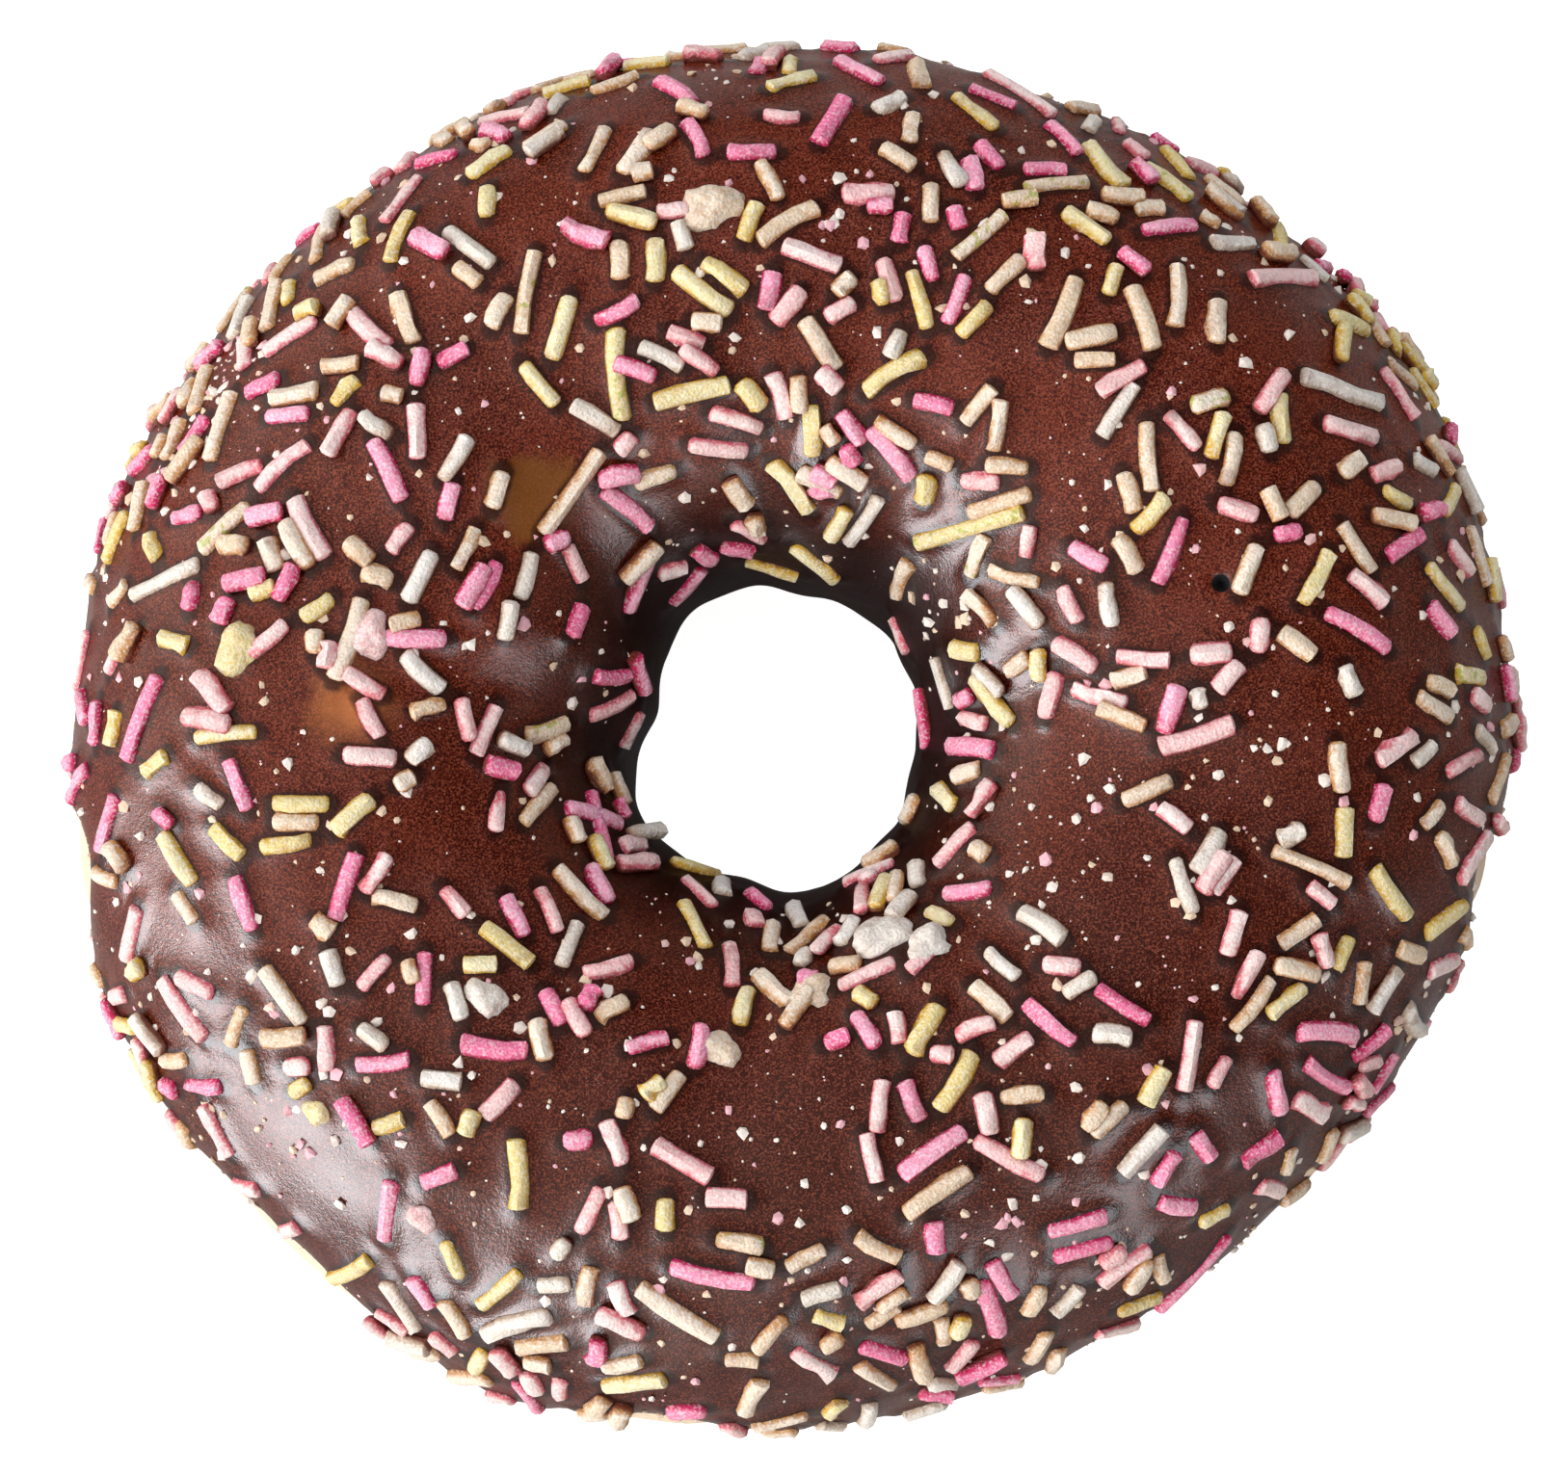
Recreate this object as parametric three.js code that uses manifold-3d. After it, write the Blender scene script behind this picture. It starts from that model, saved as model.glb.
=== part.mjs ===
// A ring doughnut under dark chocolate icing with sugar sprinkles, in millimetres, +Z up.
// The origin is the middle of the ring, on the surface that the doughnut lies on.
//
// The ring is a torus with an uneven outline. A place on it is given by two angles in degrees:
// turn, round the ring from +X, and tilt, round the dough's section from its outer side
// (0 outside, 90 on the crown, 180 in the hole, 270 underneath).

import * as THREE from "three";
import { mergeVertices } from "three/addons/utils/BufferGeometryUtils.js";
import Module from "manifold-3d";

const wasm = await Module();
wasm.setup();

// ---- Dough ----
const DOUGH_ACROSS = 90.2;
const HOLE_ACROSS = 21.8;
const WAIST_HEIGHT = 15.6; // the widest level, above the table
const CROWN_RISE = 16.9; // from the waist up to the bare crown
const BASE_DROP = 16.7; // from the waist down to the unpressed underside
const SQUARENESS = 2.25; // exponent of the section; 2 is an ellipse

// Each wave swells a size by swell * cos(lobes * (turn - peak)).
const OUTER_WAVES = [
  { lobes: 2, swell: 1.2, peak: 21 },
  { lobes: 3, swell: 0.37, peak: 7 },
  { lobes: 4, swell: 0.14, peak: 4 },
  { lobes: 5, swell: 0.25, peak: 24 },
  { lobes: 7, swell: 0.13, peak: 45 },
];
const HOLE_WAVES = [
  { lobes: 1, swell: 0.42, peak: 198 },
  { lobes: 2, swell: 0.52, peak: 82 },
  { lobes: 3, swell: 0.19, peak: 98 },
  { lobes: 4, swell: 0.45, peak: 29 },
  { lobes: 5, swell: 0.39, peak: 61 },
  { lobes: 8, swell: 0.15, peak: 2 },
];
const CROWN_WAVES = [
  { lobes: 1, swell: 0.3, peak: 140 },
  { lobes: 2, swell: 0.35, peak: 115 },
  { lobes: 3, swell: 0.25, peak: 40 },
];

// Shallow dents run diagonally over the ring: depth * cos(around * turn + across * tilt + phase).
const DENTS = [
  { depth: 0.2, around: 5, across: 2, phase: 40 },
  { depth: 0.16, around: 8, across: -3, phase: 200 },
  { depth: 0.1, around: 13, across: 4, phase: 310 },
];

// ---- Icing ----
const ICING_GAP = 0.3; // clearance to the dough
const ICING_ROOT = 1; // the uncut icing reaches this far below its underside
const ICING_CROWN = 1.3; // thickness on the crown
const ICING_RIM = 0.55; // thickness down the outer side
const ICING_HOLE = 0.75; // thickness down the hole
const ICING_BEAD = 0.15; // extra thickness of the bead along the outer edge
const BEAD_AT = 0.06; // the bead's place and width, as shares of the way across
const BEAD_WIDTH = 0.04;
const LIP = 0.035; // share of the way across that rounds down to each edge
const OUTER_EDGE_TILT = 2; // the outer edge hangs just above the waist
const HOLE_EDGE_TILT = 192; // the inner edge hangs just below it
// Where the icing falls short, its outer edge climbs by rise over about width degrees of turn,
// and the bare dough stands out.
const SHORT_PLACES = [
  { turn: 72, width: 11, rise: 22 },
  { turn: 190, width: 8, rise: 31 },
  { turn: 226, width: 13, rise: 27 },
  { turn: 262, width: 12, rise: 24 },
  { turn: 306, width: 14, rise: 18 },
  { turn: 349, width: 6, rise: 27 },
];
const BARE_SWELL = 0.03; // outward, per degree that the icing's edge has climbed
const EDGE_RIPPLES = [
  { lobes: 9, swell: 2.2, peak: 12 },
  { lobes: 17, swell: 1.2, peak: 3 },
];

// ---- Sprinkles ----
const SPRINKLE_SEED = 2207;
const SPRINKLE_COUNT = 205; // the longest of the scatter; the short ones are left out
const SCATTER_COUNT = 540; // sprinkles that the whole scatter would hold
const SPRINKLE_ACROSS = 1.35;
const LONGEST = 6.8;
const SHORTEST = 1.9;
const LENGTH_BIAS = 0.37; // below 1, lengths crowd towards the short end
const SUNK = 0.42; // share of its thickness that a sprinkle sinks into the icing
const CLEARANCE = 1.5; // least distance between two sprinkles' lines
const TRIES = 60;
const EDGE_MARGIN = 3; // degrees of tilt that stay free along the outer edge
const HOLE_LIMIT = 162; // tilt in the hole that no sprinkle passes

// The long sprinkles: turn, tilt, heading (degrees from the way round the ring) and length.
const LONG_SPRINKLES = [
  [8, 64, 55, 5], [14, 70, 135, 4], [22, 94, 135, 4.5], [30, 49, 50, 6.5],
  [34, 89, 150, 4.5], [41, 43, 65, 6], [41, 88, 105, 4], [43, 117, 65, 4.5],
  [44, 125, 65, 8], [46, 64, 125, 4.5], [51, 52, 50, 4], [54, 40, 165, 4],
  [54, 80, 100, 5], [62, 56, 40, 4.5], [69, 33, 155, 6], [70, 106, 50, 4.5],
  [82, 120, 100, 3.5], [85, 86, 165, 4], [88, 80, 35, 4.5], [104, 112, 0, 5],
  [114, 104, 70, 6], [120, 80, 50, 5.5], [132, 119, 10, 6.5], [136, 64, 90, 5],
  [152, 50, 20, 5], [153, 68, 155, 4.5], [158, 78, 50, 4.5], [161, 62, 150, 4.5],
  [167, 52, 120, 6], [168, 104, 105, 4], [170, 92, 175, 5.5], [173, 107, 60, 3.5],
  [180, 54, 160, 6], [186, 100, 90, 3.5], [202, 90, 140, 4.5], [206, 48, 15, 5],
  [207, 144, 65, 5], [210, 144, 160, 5], [221, 112, 10, 4], [222, 130, 0, 4.5],
  [232, 37, 70, 5], [232, 57, 110, 4.5], [247, 47, 45, 5.5], [258, 42, 25, 4.5],
  [260, 130, 110, 3.5], [261, 60, 150, 6], [264, 68, 170, 5.5], [270, 126, 130, 3.5],
  [289, 76, 15, 5], [290, 48, 90, 5], [290, 84, 15, 5], [290, 123, 175, 4],
  [298, 77, 125, 5], [300, 53, 165, 4], [307, 28, 20, 7], [318, 125, 125, 3.5],
  [320, 86, 95, 4], [327, 42, 95, 5], [330, 48, 115, 5], [344, 51, 70, 4.5],
  [344, 68, 95, 5.5], [352, 140, 90, 4.5], [357, 95, 110, 5],
];

// Lumps of clumped sugar: turn, tilt and width.
const SUGAR_LUMPS = [
  [12, 16, 1.6], [78, 131, 1.8], [97, 76, 3.4], [169, 96, 2.6], [173, 72, 3], [221, 62, 1.6],
  [225, 102, 2.4], [235, 60, 1.8], [261, 112, 2.4], [278, 124, 2.4], [296, 129, 3.4],
  [304, 122, 2.6],
];
const LUMP_FLATNESS = 0.75; // a lump's height against its width

// Round patches that stay free of scattered sprinkles: turn, tilt and radius.
const BARE_PATCHES = [
  [22, 86, 2.6], [50, 97, 2.6], [136, 92, 2.6], [172, 130, 2.6], [180, 89, 3.4],
  [220, 50, 3.8], [273, 108, 3.4], [334, 108, 4.4], [358, 77, 2.6],
];

// ---- Facets ----
const TURNS = 46;
const DOUGH_FACETS = 20;
const ICING_OUTSIDE_FACETS = 14;
const ICING_INSIDE_FACETS = 6;

const radians = THREE.MathUtils.degToRad;
const cosDeg = (angle) => Math.cos(radians(angle));
const sinDeg = (angle) => Math.sin(radians(angle));

const wavesAt = (waves, turn) =>
  waves.reduce((sum, w) => sum + w.swell * cosDeg(w.lobes * (turn - w.peak)), 0);

const dentAt = (turn, tilt) =>
  DENTS.reduce((sum, d) => sum + d.depth * cosDeg(d.around * turn + d.across * tilt + d.phase), 0);

const edgeClimb = (turn) =>
  SHORT_PLACES.reduce((climb, p) => {
    const away = ((turn - p.turn + 540) % 360) - 180;
    return climb + p.rise * Math.exp(-((away / p.width) ** 2));
  }, 0);

// The dough's surface at (turn, tilt), moved outwards by lift along the section's normal.
function doughPoint(turn, tilt, lift = 0) {
  const swollen = BARE_SWELL * edgeClimb(turn);
  const outer = DOUGH_ACROSS / 2 + wavesAt(OUTER_WAVES, turn) + swollen;
  const hole = HOLE_ACROSS / 2 + wavesAt(HOLE_WAVES, turn);
  const halfWidth = (outer - hole) / 2;
  const halfHeight = sinDeg(tilt) > 0 ? CROWN_RISE + wavesAt(CROWN_WAVES, turn) : BASE_DROP;
  const c = cosDeg(tilt);
  const s = sinDeg(tilt);
  const swell = (Math.abs(c) ** SQUARENESS + Math.abs(s) ** SQUARENESS) ** (-1 / SQUARENESS);
  const normal = new THREE.Vector2(
    (Math.sign(c) * Math.abs(c) ** (SQUARENESS - 1)) / halfWidth,
    (Math.sign(s) * Math.abs(s) ** (SQUARENESS - 1)) / halfHeight,
  ).normalize();
  const out = lift + dentAt(turn, tilt);
  const radius = (outer + hole) / 2 + halfWidth * swell * c + normal.x * out;
  const height = WAIST_HEIGHT + halfHeight * swell * s + normal.y * out;
  return new THREE.Vector3(radius * cosDeg(turn), radius * sinDeg(turn), Math.max(height, 0));
}

const outerEdgeTilt = (turn) =>
  OUTER_EDGE_TILT + wavesAt(EDGE_RIPPLES, turn) + edgeClimb(turn);

const tiltAcross = (turn, across) =>
  THREE.MathUtils.lerp(outerEdgeTilt(turn), HOLE_EDGE_TILT, across);

// Icing thickness at a share of the way across, from the outer edge (0) to the hole (1).
function icingThickness(across) {
  const fromCrown = Math.min(Math.abs(2 * across - 1), 1);
  const body = THREE.MathUtils.lerp(
    ICING_CROWN,
    across < 0.5 ? ICING_RIM : ICING_HOLE,
    fromCrown ** 2,
  );
  const bead = ICING_BEAD * Math.exp(-(((across - BEAD_AT) / BEAD_WIDTH) ** 2));
  const toEdge = THREE.MathUtils.clamp(Math.min(across, 1 - across) / LIP, 0, 1);
  return (body + bead) * Math.sqrt(1 - (1 - toEdge) ** 2);
}

const icingPoint = (turn, tilt, across) =>
  doughPoint(turn, tilt, ICING_GAP + icingThickness(across));

// A closed ring: a torus whose vertex at shares u round the ring and v round the tube goes to
// pointAt(u, v).
function bentRing(facets, pointAt) {
  const geometry = new THREE.TorusGeometry(2, 1, facets, TURNS);
  const { position, uv } = geometry.attributes;
  for (let i = 0; i < position.count; i++) {
    const p = pointAt(uv.getX(i) % 1, uv.getY(i) % 1);
    position.setXYZ(i, p.x, p.y, p.z);
  }
  return geometry;
}

const doughGeometry = (lift = 0) =>
  bentRing(DOUGH_FACETS, (u, v) => doughPoint(360 * u, 360 * v, lift));

// The uncut icing's tube runs over its outside from the outer edge to the hole, and back below
// the dough's surface.
function icingGeometry() {
  const facets = ICING_OUTSIDE_FACETS + ICING_INSIDE_FACETS;
  return bentRing(facets, (u, v) => {
    const turn = 360 * u;
    const step = Math.round(v * facets);
    const across = step <= ICING_OUTSIDE_FACETS
      ? lippedShare(step / ICING_OUTSIDE_FACETS)
      : (facets - step) / ICING_INSIDE_FACETS;
    const outside = step > 0 && step < ICING_OUTSIDE_FACETS;
    const lift = outside ? icingThickness(across) : -ICING_ROOT;
    return doughPoint(turn, tiltAcross(turn, across), ICING_GAP + lift);
  });
}

// Evenly spread shares, but with the two next to each edge drawn into the lip.
function lippedShare(share) {
  const step = 1 / ICING_OUTSIDE_FACETS;
  const near = Math.min(share, 1 - share);
  const body = (near - 2 * step) / (0.5 - 2 * step);
  const moved = near < 2 * step ? (LIP * (near / step) ** 2) / 4 : LIP + body * (0.5 - LIP);
  return share < 0.5 ? moved : 1 - moved;
}

// ---- Sprinkle scatter ----

// Seeded random numbers from 0 to 1 (the mulberry32 generator).
function randomFrom(seed) {
  let state = seed;
  return () => {
    state = (state + 0x6d2b79f5) | 0;
    let mixed = Math.imul(state ^ (state >>> 15), 1 | state);
    mixed = (mixed + Math.imul(mixed ^ (mixed >>> 7), 61 | mixed)) ^ mixed;
    return ((mixed ^ (mixed >>> 14)) >>> 0) / 2 ** 32;
  };
}

// The pose of a straight sprinkle that lies on the icing at (turn, tilt), pointing heading degrees
// from the way round the ring. It bridges a hollow, and its middle sinks into a bulge.
function restOnIcing(turn, tilt, heading, length) {
  const nudge = 0.5; // degrees
  const edge = outerEdgeTilt(turn);
  const point = (a, b) => icingPoint(a, b, (b - edge) / (HOLE_EDGE_TILT - edge));
  const at = point(turn, tilt);
  const round = point(turn + nudge, tilt).sub(at);
  const over = point(turn, tilt + nudge).sub(at);
  const turnReach = (nudge * length * cosDeg(heading)) / 2 / round.length();
  const tiltReach = (nudge * length * sinDeg(heading)) / 2 / over.length();
  const normal = new THREE.Vector3().crossVectors(round, over).normalize();
  round.normalize();
  over.crossVectors(normal, round);
  const direction = round.multiplyScalar(cosDeg(heading)).addScaledVector(over, sinDeg(heading));
  const between = point(turn + turnReach, tilt + tiltReach)
    .add(point(turn - turnReach, tilt - tiltReach))
    .multiplyScalar(0.5);
  const hollow = between.sub(at).dot(normal);
  const lift = SPRINKLE_ACROSS * (0.5 - SUNK) + (hollow > 0 ? hollow : hollow / 2);
  at.addScaledVector(normal, lift);
  return { middle: at, direction, normal, length, tiltReach: Math.abs(tiltReach) };
}

const linePoints = ({ middle, direction, length }) =>
  [-0.5, -0.25, 0, 0.25, 0.5].map((share) =>
    middle.clone().addScaledVector(direction, share * length),
  );

const onIcing = (turn, tilt) => restOnIcing(turn, tilt, 0, 0).middle;

// The named long sprinkles, then others from the longest down. Each of these is thrown at random,
// evenly over the icing's surface, until it lies clear of all before it.
function scatterSprinkles() {
  const placed = LONG_SPRINKLES.map((place) => restOnIcing(...place));
  const spotsOf = (sprinkle) => linePoints(sprinkle).map((at) => ({ at, room: CLEARANCE }));
  const taken = [
    ...placed.flatMap(spotsOf),
    ...SUGAR_LUMPS.map(([turn, tilt, width]) => ({ at: onIcing(turn, tilt), room: width })),
    ...BARE_PATCHES.map(([turn, tilt, radius]) => ({ at: onIcing(turn, tilt), room: radius })),
  ];
  const widest = DOUGH_ACROSS / 2;
  for (let rank = LONG_SPRINKLES.length; rank < SPRINKLE_COUNT; rank++) {
    const random = randomFrom(SPRINKLE_SEED + rank);
    const length =
      LONGEST - (LONGEST - SHORTEST) * (rank / SCATTER_COUNT) ** LENGTH_BIAS;
    for (let attempt = 0; attempt < TRIES; attempt++) {
      const turn = 360 * random();
      const low = outerEdgeTilt(turn) + EDGE_MARGIN;
      const tilt = THREE.MathUtils.lerp(low, HOLE_LIMIT, random());
      const heading = 360 * random();
      const thinning = random();
      const sprinkle = restOnIcing(turn, tilt, heading, length);
      const { middle, tiltReach } = sprinkle;
      if (thinning > Math.hypot(middle.x, middle.y) / widest) continue;
      if (tilt - tiltReach < low || tilt + tiltReach > HOLE_LIMIT) continue;
      const points = linePoints(sprinkle);
      if (points.some((p) => taken.some(({ at, room }) => p.distanceTo(at) < room))) continue;
      taken.push(...spotsOf(sprinkle));
      placed.push(sprinkle);
      break;
    }
  }
  return placed;
}

// A bar with upright flanks, which the icing meets, and a ridged top.
function sprinkleGeometry({ middle, direction, normal, length }) {
  const radius = SPRINKLE_ACROSS / 2;
  const section = new THREE.Shape();
  section.moveTo(-0.9 * radius, -radius);
  section.lineTo(0.9 * radius, -radius);
  section.lineTo(0.9 * radius, 0.4 * radius);
  section.lineTo(0, radius);
  section.lineTo(-0.9 * radius, 0.4 * radius);
  const geometry = new THREE.ExtrudeGeometry(section, { depth: length, bevelEnabled: false });
  geometry.translate(0, 0, -length / 2);
  const side = new THREE.Vector3().crossVectors(normal, direction);
  const pose = new THREE.Matrix4().makeBasis(side, normal, direction).setPosition(middle);
  return geometry.applyMatrix4(pose);
}

// A rough lump, half sunk in the icing.
function lumpGeometry([turn, tilt, width]) {
  const { middle, direction, normal } = restOnIcing(turn, tilt, 0, width);
  const side = new THREE.Vector3().crossVectors(normal, direction);
  const pose = new THREE.Matrix4().makeBasis(direction, side, normal).setPosition(middle);
  const geometry = new THREE.IcosahedronGeometry(width / 2).scale(1, 1, LUMP_FLATNESS);
  return geometry.applyMatrix4(pose);
}

// ---- Solids ----

function solidOf(geometry) {
  geometry.deleteAttribute("normal");
  geometry.deleteAttribute("uv");
  const merged = mergeVertices(geometry);
  return new wasm.Manifold(
    new wasm.Mesh({
      numProp: 3,
      vertProperties: merged.attributes.position.array,
      triVerts: new Uint32Array(merged.index.array),
    }),
  );
}

function geometryOf(solid) {
  const mesh = solid.getMesh();
  const geometry = new THREE.BufferGeometry();
  geometry.setAttribute("position", new THREE.BufferAttribute(mesh.vertProperties, 3));
  geometry.setIndex(new THREE.BufferAttribute(mesh.triVerts, 1));
  geometry.computeVertexNormals();
  return geometry;
}

// The icing with its sprinkles and lumps, hollowed so that it clears the dough all over.
const icingWithSprinkles = () =>
  [...scatterSprinkles().map(sprinkleGeometry), ...SUGAR_LUMPS.map(lumpGeometry)]
    .reduce((whole, topping) => whole.add(solidOf(topping)), solidOf(icingGeometry()))
    .subtract(solidOf(doughGeometry(ICING_GAP)));

// ---- The doughnut ----

function namedMesh(name, geometry, color, roughness) {
  const material = new THREE.MeshStandardMaterial({ color, roughness, metalness: 0 });
  const mesh = new THREE.Mesh(geometry, material);
  mesh.name = name;
  return mesh;
}

const doughnut = new THREE.Group();
doughnut.name = "iced_ring_doughnut";
doughnut.add(
  namedMesh("dough_ring", geometryOf(solidOf(doughGeometry())), 0xd9a15c, 0.85),
  namedMesh("chocolate_icing", geometryOf(icingWithSprinkles()), 0x4f2a21, 0.35),
);

export default doughnut;
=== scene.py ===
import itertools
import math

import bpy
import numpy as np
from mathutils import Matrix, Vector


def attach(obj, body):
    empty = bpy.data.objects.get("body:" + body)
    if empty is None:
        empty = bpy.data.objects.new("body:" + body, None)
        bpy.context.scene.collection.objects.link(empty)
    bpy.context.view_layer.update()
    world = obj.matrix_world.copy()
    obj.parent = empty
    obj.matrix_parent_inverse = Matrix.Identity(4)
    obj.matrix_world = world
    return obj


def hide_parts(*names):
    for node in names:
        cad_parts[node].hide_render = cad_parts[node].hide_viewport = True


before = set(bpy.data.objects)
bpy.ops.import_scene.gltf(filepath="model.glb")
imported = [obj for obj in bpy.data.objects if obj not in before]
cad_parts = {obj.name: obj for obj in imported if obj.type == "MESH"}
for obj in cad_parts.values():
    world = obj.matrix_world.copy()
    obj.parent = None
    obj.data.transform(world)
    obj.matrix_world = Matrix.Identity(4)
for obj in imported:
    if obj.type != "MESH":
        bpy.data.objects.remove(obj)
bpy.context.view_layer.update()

# A ring doughnut under dark chocolate icing with sugar sprinkles, dressed with its fine surface.
#
# The two CAD solids, dough_ring and chocolate_icing, are replaced by fine skins of the same form.
# Lengths are in millimetres until a mesh is made. A place on the ring is two angles in degrees:
# turn, round the ring from +X, and tilt, round the dough's section from its outer side
# (0 outside, 90 on the crown, 180 in the hole, 270 underneath).

MM = 0.001

# ---- Dough, as in the CAD model ----
DOUGH_ACROSS = 90.2
HOLE_ACROSS = 21.8
WAIST_HEIGHT = 15.6
CROWN_RISE = 16.9
BASE_DROP = 16.7
SQUARENESS = 2.25  # exponent of the section; 2 is an ellipse
# Waves of the outline: lobes, swell and peak.
OUTER_WAVES = [(2, 1.2, 21), (3, 0.37, 7), (4, 0.14, 4), (5, 0.25, 24), (7, 0.13, 45)]
HOLE_WAVES = [
    (1, 0.42, 198), (2, 0.52, 82), (3, 0.19, 98), (4, 0.45, 29), (5, 0.39, 61), (8, 0.15, 2),
]
CROWN_WAVES = [(1, 0.3, 140), (2, 0.35, 115), (3, 0.25, 40)]
# Shallow dents: depth, around, across and phase.
DENTS = [(0.2, 5, 2, 40), (0.16, 8, -3, 200), (0.1, 13, 4, 310)]

# ---- Icing, as in the CAD model ----
ICING_GAP = 0.3  # between the dough and the icing's underside
ICING_CROWN = 1.3  # thickness on the crown
ICING_RIM = 0.55  # at the outer edge
ICING_HOLE = 0.75  # in the hole
ICING_BEAD = 0.15  # added along the outer edge
BEAD_AT = 0.06  # this and the next two are shares of the way across
BEAD_WIDTH = 0.04
LIP = 0.035
OUTER_EDGE_TILT = 2
HOLE_EDGE_TILT = 192
# Where the icing falls short: turn, width and rise of its edge.
SHORT_PLACES = [(72, 11, 22), (190, 8, 31), (226, 13, 27), (262, 12, 24), (306, 14, 18), (349, 6, 27)]
BARE_SWELL = 0.03  # the dough bulges there by this for each degree
EDGE_RIPPLES = [(9, 2.2, 12), (17, 1.2, 3)]  # lobes, swell and peak, in degrees

# ---- Sprinkles, as in the CAD model, which holds the longest SOLID_COUNT of them ----
SPRINKLE_SEED = 2207
SOLID_COUNT = 205
SCATTER_COUNT = 540
SPRINKLE_ACROSS = 1.35
LONGEST = 6.8
SHORTEST = 1.9
LENGTH_BIAS = 0.37  # exponent; a small one makes most of them short
SUNK = 0.42  # the share of its girth that the icing hides
CLEARANCE = 1.5  # between centre lines
TRIES = 60
POINTS_A_LINE = 5  # of each sprinkle, for the distances between them
EDGE_MARGIN = 3  # degrees of tilt over the outer edge
HOLE_LIMIT = 162  # no sprinkle reaches past this tilt
# The long sprinkles of each colour: turn, tilt, heading and length.
LONG_SPRINKLES = {
    "light_pink": [
        (41, 43, 65, 6), (69, 33, 155, 6), (85, 86, 165, 4), (136, 64, 90, 5), (153, 68, 155, 4.5),
        (158, 78, 50, 4.5), (186, 100, 90, 3.5), (206, 48, 15, 5), (260, 130, 110, 3.5),
        (290, 123, 175, 4), (298, 77, 125, 5), (357, 95, 110, 5),
    ],
    "deep_pink": [
        (8, 64, 55, 5), (22, 94, 135, 4.5), (51, 52, 50, 4), (168, 104, 105, 4), (180, 54, 160, 6),
        (202, 90, 140, 4.5), (207, 144, 65, 5), (210, 144, 160, 5), (232, 57, 110, 4.5),
        (264, 68, 170, 5.5), (290, 48, 90, 5), (290, 84, 15, 5), (300, 53, 165, 4),
        (307, 28, 20, 7), (318, 125, 125, 3.5), (320, 86, 95, 4), (327, 42, 95, 5),
        (330, 48, 115, 5), (352, 140, 90, 4.5),
    ],
    "cream": [
        (34, 89, 150, 4.5), (43, 117, 65, 4.5), (46, 64, 125, 4.5), (54, 80, 100, 5),
        (62, 56, 40, 4.5), (88, 80, 35, 4.5), (120, 80, 50, 5.5), (132, 119, 10, 6.5),
        (152, 50, 20, 5), (161, 62, 150, 4.5), (170, 92, 175, 5.5), (222, 130, 0, 4.5),
        (261, 60, 150, 6), (270, 126, 130, 3.5), (289, 76, 15, 5), (344, 68, 95, 5.5),
    ],
    "yellow": [
        (14, 70, 135, 4), (44, 125, 65, 8), (54, 40, 165, 4), (70, 106, 50, 4.5),
        (82, 120, 100, 3.5), (104, 112, 0, 5), (114, 104, 70, 6), (221, 112, 10, 4),
        (232, 37, 70, 5), (258, 42, 25, 4.5), (344, 51, 70, 4.5),
    ],
    "white": [
        (30, 49, 50, 6.5), (41, 88, 105, 4), (167, 52, 120, 6), (173, 107, 60, 3.5),
        (247, 47, 45, 5.5),
    ],
}
# Lumps of clumped sugar: turn, tilt, width and colour.
SUGAR_LUMPS = [
    (12, 16, 1.6, "yellow"), (78, 131, 1.8, "deep_pink"), (97, 76, 3.4, "cream"),
    (169, 96, 2.6, "light_pink"), (173, 72, 3, "yellow"), (221, 62, 1.6, "yellow"),
    (225, 102, 2.4, "white"), (235, 60, 1.8, "light_pink"), (261, 112, 2.4, "cream"),
    (278, 124, 2.4, "cream"), (296, 129, 3.4, "white"), (304, 122, 2.6, "white"),
]
LUMP_FLATNESS = 0.75
# Round patches that stay free of scattered sprinkles: turn, tilt and radius.
BARE_PATCHES = [
    (22, 86, 2.6), (50, 97, 2.6), (136, 92, 2.6), (172, 130, 2.6), (180, 89, 3.4),
    (220, 50, 3.8), (273, 108, 3.4), (334, 108, 4.4), (358, 77, 2.6),
]

# ---- Sprinkles that only the dressed doughnut has ----
LOOSE_COUNT = 480  # lie clear of one another, with those of the CAD model
SHORT_CLEARANCE = 1.15  # between the short ones that the CAD model leaves out
# More patches that stay free of the short ones: turn, tilt and radius.
SHORT_BARE_PATCHES = [
    (14, 92, 3), (16, 87, 1.4), (47, 99, 3), (97, 123, 3), (114, 60, 3), (131, 97, 3),
    (153, 83, 3), (184, 83, 3.8), (200, 70, 3), (202, 112, 3.4), (224, 52, 3), (241, 70, 3),
    (242, 97, 3), (274, 101, 4.6), (294, 66, 3.8), (304, 63, 3.5), (313, 30, 2.6),
    (322, 114, 3.4), (329, 88, 3.3), (334, 108, 5.6), (335, 32, 2.6), (348, 114, 3.8),
    (351, 90, 3.2), (359, 79, 3.5),
]
COLOUR_SHARES = {"light_pink": 0.26, "deep_pink": 0.2, "cream": 0.29, "yellow": 0.15, "white": 0.1}
COLOUR_SEED = 41
HEAP_SEED = 63
HEAP_COUNT = 285  # lie against and across others
HEAP_LENGTHS = (1.4, 3.6)
HEAP_TILT, HEAP_TILT_SPREAD = 90, 28
HEAP_MARGIN = 6  # degrees of tilt, at the outer edge and in the hole
TOUCHING_GAPS = (0.6, 1.25)  # from a heaped one to the nearest centre line
HEAP_RIDE = 0.8  # the share of an overlap by which it rises
HEAP_TIP = 0.12  # how unevenly it lies
CLUMP_SHARE = 0.5
CLUMP_SPREAD = (5, 9)  # in turn and tilt
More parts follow.
